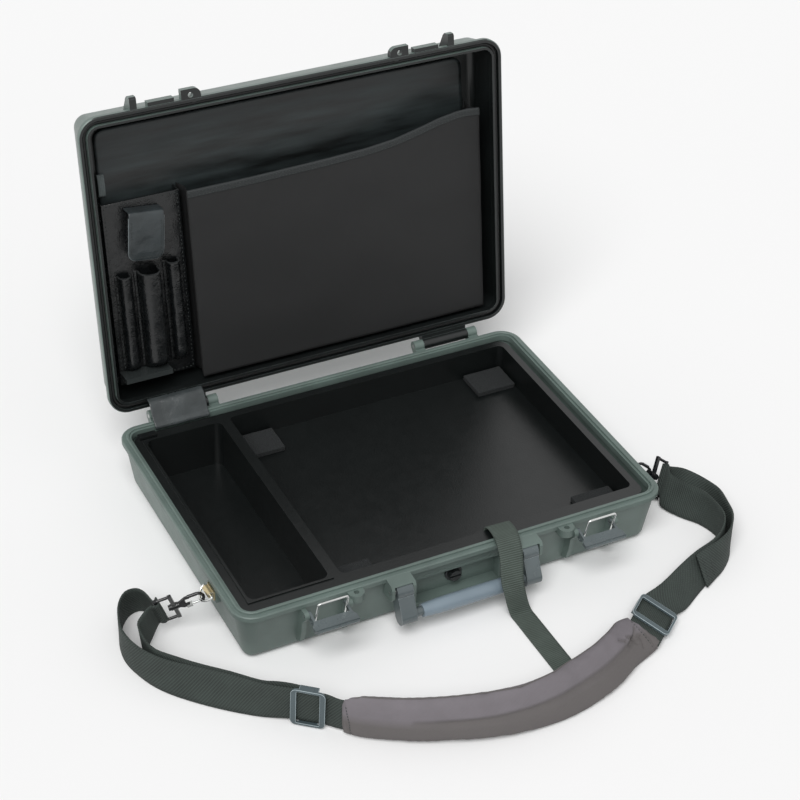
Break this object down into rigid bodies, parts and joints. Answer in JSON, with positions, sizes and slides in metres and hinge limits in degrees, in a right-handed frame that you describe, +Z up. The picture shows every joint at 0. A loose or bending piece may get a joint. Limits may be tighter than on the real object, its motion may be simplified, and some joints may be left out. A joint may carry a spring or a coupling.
{
  "type": "laptop hard case",
  "caption": "Moulded hard case for a portable computer, open on rear hinges, with draw latches, folding handle, insert tray, lid organizer and padded shoulder strap.",
  "frame": {"origin": "centre of the base's underside", "axes": "+X to the right along the width, +Y from the handle side to the hinge side, +Z up"},
  "size_m": [0.6972, 0.6756, 0.442],
  "materials": {
    "shell": "fine moulded grain",
    "seal": "soft black rubber",
    "steel": "stainless steel",
    "chrome": "bright wire",
    "latch": "moulded, slightly blue",
    "handle": "smooth moulded",
    "grip": "soft over-mould",
    "tray": "formed sheet",
    "foam": "closed-cell foam",
    "valve": "moulded",
    "lining": "brushed lining",
    "pocket": "woven nylon",
    "binding": "ribbed binding tape",
    "vinyl": "soft coated fabric",
    "webbing": "woven webbing",
    "pad": "padded nylon",
    "slider": "moulded",
    "hook": "black coating"
  },
  "bodies": {
    "base": {"base_shell": "shell", "hinge_pin_left": "steel", "hinge_pin_right": "steel", "lever_pin_left": "steel", "lever_pin_right": "steel", "handle_pin_left": "steel", "handle_pin_right": "steel", "purge_valve_body": "valve", "tray_insert": "tray", "tray_pads": "foam", "tray_strap": "webbing", "hinge_cover": "vinyl", "ring_mount_left": "steel", "ring_mount_right": "steel", "slider_left": "slider", "slider_right": "slider", "strap_web_left": "webbing", "strap_web_right": "webbing", "shoulder_pad": "pad"},
    "lid": {"lid_shell": "shell", "lid_seal": "seal", "lid_lining": "lining", "file_pocket": "pocket", "pocket_binding": "binding", "organizer_panel": "pocket", "pen_sleeve_left": "pocket", "torch_sleeve": "pocket", "pen_sleeve_right": "pocket", "organizer_ledge": "binding", "utility_pouch": "pocket", "elastic_loop": "binding"},
    "flap": {"pouch_flap": "vinyl"},
    "lever_left": {"latch_lever_left": "latch"},
    "lever_right": {"latch_lever_right": "latch"},
    "bail_left": {"latch_bail_left": "chrome"},
    "bail_right": {"latch_bail_right": "chrome"},
    "handle": {"handle_frame": "handle", "handle_grip": "grip"},
    "valve_knob": {"purge_valve_knob": "valve"},
    "ring_left": {"strap_ring_left": "steel"},
    "ring_right": {"strap_ring_right": "steel"},
    "hook_body_left": {"hook_left": "hook"},
    "hook_body_right": {"hook_right": "hook"},
    "gate_left": {"hook_gate_left": "steel"},
    "gate_right": {"hook_gate_right": "steel"},
    "loop_left": {"swivel_loop_left": "hook"},
    "loop_right": {"swivel_loop_right": "hook"}
  },
  "joints": [
    {"name": "lid_hinge", "type": "hinge", "parent": "base", "child": "lid", "pos_m": [0, 0.188, 0.068], "axis": [1, 0, 0], "range_deg": [0, 99], "deforming": ["hinge_cover", "tray_strap"]},
    {"name": "flap_fold", "type": "hinge", "parent": "lid", "child": "flap", "pos_m": [-0.18709, 0.25029, 0.30533], "axis": [-0.9945, 0.0164, 0.1032], "range_deg": [0, 88]},
    {"name": "lever_left", "type": "hinge", "parent": "base", "child": "lever_left", "pos_m": [-0.16, -0.184, 0.057], "axis": [1, 0, 0], "range_deg": [-12, 75]},
    {"name": "bail_left", "type": "hinge", "parent": "lever_left", "child": "bail_left", "pos_m": [-0.16, -0.19005, 0.05176], "axis": [-1, 0, 0], "range_deg": [-15, 91]},
    {"name": "lever_right", "type": "hinge", "parent": "base", "child": "lever_right", "pos_m": [0.16, -0.184, 0.057], "axis": [1, 0, 0], "range_deg": [-12, 75]},
    {"name": "bail_right", "type": "hinge", "parent": "lever_right", "child": "bail_right", "pos_m": [0.16, -0.19005, 0.05176], "axis": [-1, 0, 0], "range_deg": [-15, 91]},
    {"name": "handle_swing", "type": "hinge", "parent": "base", "child": "handle", "pos_m": [0, -0.187, 0.055], "axis": [-1, 0, 0], "range_deg": [0, 80], "deforming": ["tray_strap"]},
    {"name": "valve_turn", "type": "hinge", "parent": "base", "child": "valve_knob", "pos_m": [0, -0.1623, 0.031], "axis": [0, -1, 0], "range_deg": [0, 270]},
    {"name": "ring_left", "type": "hinge", "parent": "base", "child": "ring_left", "pos_m": [-0.2595, -0.103, 0.053], "axis": [0, 1, 0], "range_deg": [-6, 6], "deforming": ["strap_web_left"]},
    {"name": "hook_left", "type": "hinge", "parent": "ring_left", "child": "hook_body_left", "pos_m": [-0.26817, -0.103, 0.04623], "axis": [0, 1, 0], "range_deg": [-5, 5], "deforming": ["strap_web_left"]},
    {"name": "gate_left", "type": "hinge", "parent": "hook_body_left", "child": "gate_left", "pos_m": [-0.28016, -0.09941, 0.03948], "axis": [-0.225, -0.9744, 0], "range_deg": [0, 28], "stiffness_Nm_per_rad": 0.01, "springref_deg": -20.05},
    {"name": "swivel_left", "type": "hinge", "parent": "hook_body_left", "child": "loop_left", "pos_m": [-0.29452, -0.0961, 0.03991], "axis": [-0.9342, 0.2157, -0.284], "range_deg": [-15, 15], "deforming": ["strap_web_left"]},
    {"name": "ring_right", "type": "hinge", "parent": "base", "child": "ring_right", "pos_m": [0.2595, -0.103, 0.053], "axis": [0, 1, 0], "range_deg": [-6, 6], "deforming": ["strap_web_right"]},
    {"name": "hook_right", "type": "hinge", "parent": "ring_right", "child": "hook_body_right", "pos_m": [0.26817, -0.103, 0.04623], "axis": [0, 1, 0], "range_deg": [-5, 5], "deforming": ["strap_web_right"]},
    {"name": "gate_right", "type": "hinge", "parent": "hook_body_right", "child": "gate_right", "pos_m": [0.27543, -0.10376, 0.0339], "axis": [0.0698, 0.9976, 0], "range_deg": [0, 28], "stiffness_Nm_per_rad": 0.01, "springref_deg": -20.05},
    {"name": "swivel_right", "type": "hinge", "parent": "hook_body_right", "child": "loop_right", "pos_m": [0.28908, -0.10471, 0.02843], "axis": [0.7642, -0.0534, -0.6428], "range_deg": [-15, 15], "deforming": ["strap_web_right"]}
  ],
  "couplings": [
    {"joint": "bail_left", "follows": "lever_left", "ratio": 1.208},
    {"joint": "bail_right", "follows": "lever_right", "ratio": 1.208}
  ]
}
